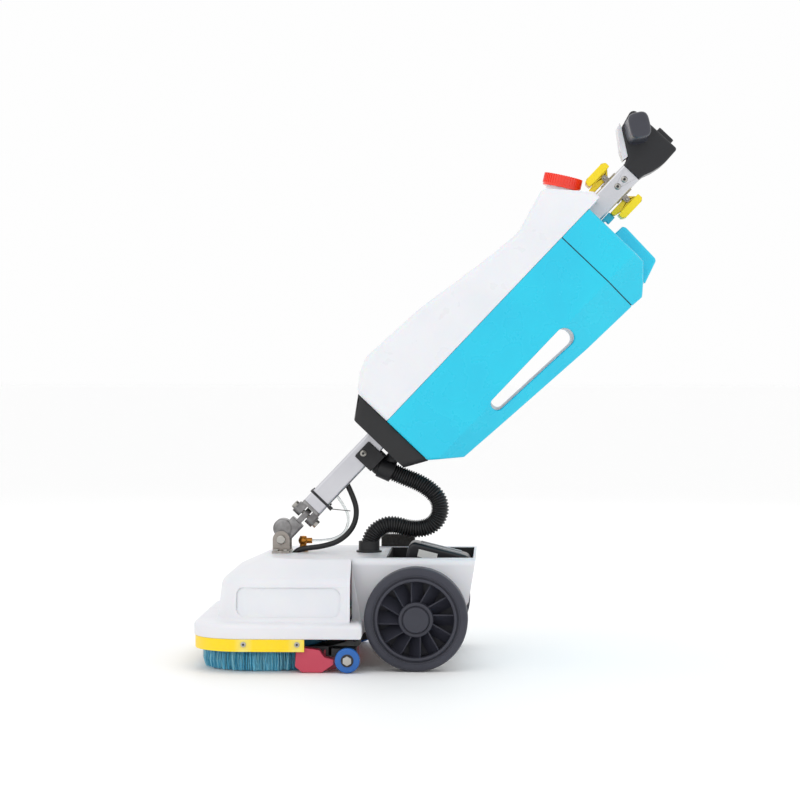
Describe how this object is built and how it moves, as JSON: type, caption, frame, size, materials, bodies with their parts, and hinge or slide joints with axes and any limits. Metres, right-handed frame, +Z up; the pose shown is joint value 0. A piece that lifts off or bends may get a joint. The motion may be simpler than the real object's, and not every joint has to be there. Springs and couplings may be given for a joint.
{
  "type": "walk-behind floor scrubber",
  "caption": "Cordless walk-behind floor scrubber: white deck over disc brushes, rear wheels and squeegee, tilting mast with a clean and a dirty water tank and a T-shaped handle.",
  "frame": {"origin": "bottom centre of the whole machine's box, on the floor", "axes": "+X towards the person who walks behind it, +Y to that person's right, +Z up; the deck's front points to -X"},
  "size_m": [0.8266, 0.487, 0.956],
  "materials": {
    "deck_white": "smooth rotomoulded",
    "tank_white": "smooth rotomoulded",
    "tank_cyan": "smooth rotomoulded",
    "cap_red": "moulded",
    "latch_yellow": "moulded",
    "bumper_yellow": "smooth extruded",
    "black_plastic": "fine texture",
    "head_black": "satin moulded",
    "grip_rubber": "fine texture",
    "light_grey": "moulded",
    "wheel_grey": "moulded",
    "tyre_grey": "smooth tread",
    "roller_blue": "moulded",
    "squeegee_red": "moulded",
    "blade_rubber": "smooth",
    "bristle_blue": "tufted bristles",
    "disc_blue": "moulded",
    "steel_zinc": "zinc plated",
    "steel_bracket": "brushed",
    "screw_steel": "plain",
    "cast_grey": "fine cast",
    "mast_aluminium": "extruded, satin",
    "brass_fitting": "machined",
    "hose_black": "corrugated",
    "cable_black": "smooth sheath",
    "clear_tube": "clear vinyl",
    "foam_dark": "open-cell foam",
    "motor_black": "satin",
    "board_green": "coated board",
    "duct_grey": "moulded"
  },
  "bodies": {
    "deck": {"deck_cover": "deck_white", "chassis_plate": "steel_bracket", "brush_shroud": "black_plastic", "bumper_strip": "bumper_yellow", "deck_screws": "screw_steel", "axle_shaft": "steel_zinc", "wheel_bushes": "light_grey", "axle_caps": "steel_zinc", "hinge_bracket": "steel_bracket", "hinge_pin": "screw_steel", "battery_dock": "black_plastic", "brush_motors": "motor_black", "control_board": "board_green", "foam_pad": "foam_dark", "hose_cuff": "black_plastic", "suction_duct": "duct_grey", "water_fitting": "brass_fitting", "spray_manifold": "duct_grey", "suction_hose": "hose_black", "power_cable": "cable_black", "water_tube": "clear_tube"},
    "squeegee": {"squeegee_frame": "black_plastic", "squeegee_blades": "blade_rubber", "squeegee_end_blocks": "squeegee_red", "roller_bolts": "screw_steel"},
    "battery": {"battery_case": "head_black"},
    "yoke": {"yoke": "cast_grey"},
    "mast": {"mast_foot": "cast_grey", "mast_tube": "mast_aluminium", "mast_screws": "screw_steel", "swivel_pin": "screw_steel", "tank_cradle": "black_plastic", "hose_clamp": "black_plastic", "hose_connector": "black_plastic", "latch_brackets": "steel_bracket", "head_shell_left": "head_black", "head_shell_right": "head_black", "head_cover": "deck_white", "handle_grips": "grip_rubber"},
    "solution_tank": {"solution_tank": "tank_white"},
    "solution_cap": {"solution_cap": "cap_red"},
    "recovery_tank": {"recovery_tank": "tank_cyan"},
    "recovery_lid": {"recovery_lid": "tank_cyan", "lid_gasket": "black_plastic", "vacuum_motor": "motor_black", "float_cage": "light_grey"},
    "latch_front": {"latch_front": "latch_yellow"},
    "latch_rear": {"latch_rear": "latch_yellow"},
    "power_button": {"power_button": "light_grey"},
    "speed_button": {"speed_button": "light_grey"},
    "wheel_left": {"wheel_rim_left": "wheel_grey", "wheel_tyre_left": "tyre_grey"},
    "brush_left": {"brush_disc_left": "disc_blue", "bristles_left": "bristle_blue"},
    "roller_left": {"roller_left": "roller_blue"},
    "wheel_right": {"wheel_rim_right": "wheel_grey", "wheel_tyre_right": "tyre_grey"},
    "brush_right": {"brush_disc_right": "disc_blue", "bristles_right": "bristle_blue"},
    "roller_right": {"roller_right": "roller_blue"}
  },
  "joints": [
    {"name": "mast_pitch", "type": "hinge", "parent": "deck", "child": "yoke", "pos_m": [-0.27533, 0, 0.208], "axis": [0, 1, 0], "range_deg": [-43.6, 15], "deforming": ["suction_hose", "power_cable", "water_tube"]},
    {"name": "mast_swivel", "type": "hinge", "parent": "yoke", "child": "mast", "pos_m": [-0.23395, 0, 0.25145], "axis": [-0.7242, 0, 0.6896], "range_deg": [-35, 35], "deforming": ["suction_hose", "power_cable", "water_tube"]},
    {"name": "squeegee_float", "type": "hinge", "parent": "deck", "child": "squeegee", "pos_m": [-0.09533, 0, 0.052], "axis": [0, 1, 0], "range_deg": [0, 4]},
    {"name": "battery_lift", "type": "slide", "parent": "deck", "child": "battery", "axis": [0.2419, 0, 0.9703], "range_m": [0, 0.08]},
    {"name": "solution_tank_slide", "type": "slide", "parent": "mast", "child": "solution_tank", "axis": [-0.7242, 0, 0.6896], "range_m": [0, 0.2]},
    {"name": "recovery_tank_slide", "type": "slide", "parent": "mast", "child": "recovery_tank", "axis": [0.7242, 0, -0.6896], "range_m": [0, 0.036]},
    {"name": "recovery_lid_lift", "type": "slide", "parent": "recovery_tank", "child": "recovery_lid", "axis": [0.6896, 0, 0.7242], "range_m": [0, 0.025]},
    {"name": "latch_front_turn", "type": "hinge", "parent": "mast", "child": "latch_front", "pos_m": [0.28992, 0, 0.84072], "axis": [0, 1, 0], "range_deg": [0, 25], "stiffness_Nm_per_rad": 0.4, "springref_deg": -11.46},
    {"name": "latch_rear_turn", "type": "hinge", "parent": "mast", "child": "latch_rear", "pos_m": [0.32902, 0, 0.80348], "axis": [0, -1, 0], "range_deg": [0, 25], "stiffness_Nm_per_rad": 0.4, "springref_deg": -11.46},
    {"name": "power_button_press", "type": "slide", "parent": "mast", "child": "power_button", "axis": [-0.6896, 0, -0.7242], "range_m": [0, 0.004], "stiffness_N_per_m": 600, "springref_m": -0.002},
    {"name": "speed_button_press", "type": "slide", "parent": "mast", "child": "speed_button", "axis": [-0.6896, 0, -0.7242], "range_m": [0, 0.002], "stiffness_N_per_m": 600, "springref_m": -0.002},
    {"name": "solution_cap_turn", "type": "hinge", "parent": "solution_tank", "child": "solution_cap", "pos_m": [0.214, 0, 0.82118], "axis": [0.2181, 0, 0.9759], "continuous": true},
    {"name": "wheel_left_spin", "type": "hinge", "parent": "deck", "child": "wheel_left", "pos_m": [-0.03333, -0.1925, 0.0875], "axis": [0, 1, 0], "continuous": true},
    {"name": "brush_left_spin", "type": "hinge", "parent": "deck", "child": "brush_left", "pos_m": [-0.29633, -0.113, 0.037], "axis": [0, 0, 1], "continuous": true},
    {"name": "roller_left_spin", "type": "hinge", "parent": "squeegee", "child": "roller_left", "pos_m": [-0.14733, -0.231, 0.0213], "axis": [0, 1, 0], "continuous": true},
    {"name": "wheel_right_spin", "type": "hinge", "parent": "deck", "child": "wheel_right", "pos_m": [-0.03333, 0.1925, 0.0875], "axis": [0, 1, 0], "continuous": true},
    {"name": "brush_right_spin", "type": "hinge", "parent": "deck", "child": "brush_right", "pos_m": [-0.29633, 0.113, 0.037], "axis": [0, 0, 1], "continuous": true},
    {"name": "roller_right_spin", "type": "hinge", "parent": "squeegee", "child": "roller_right", "pos_m": [-0.14733, 0.231, 0.0213], "axis": [0, 1, 0], "continuous": true}
  ]
}
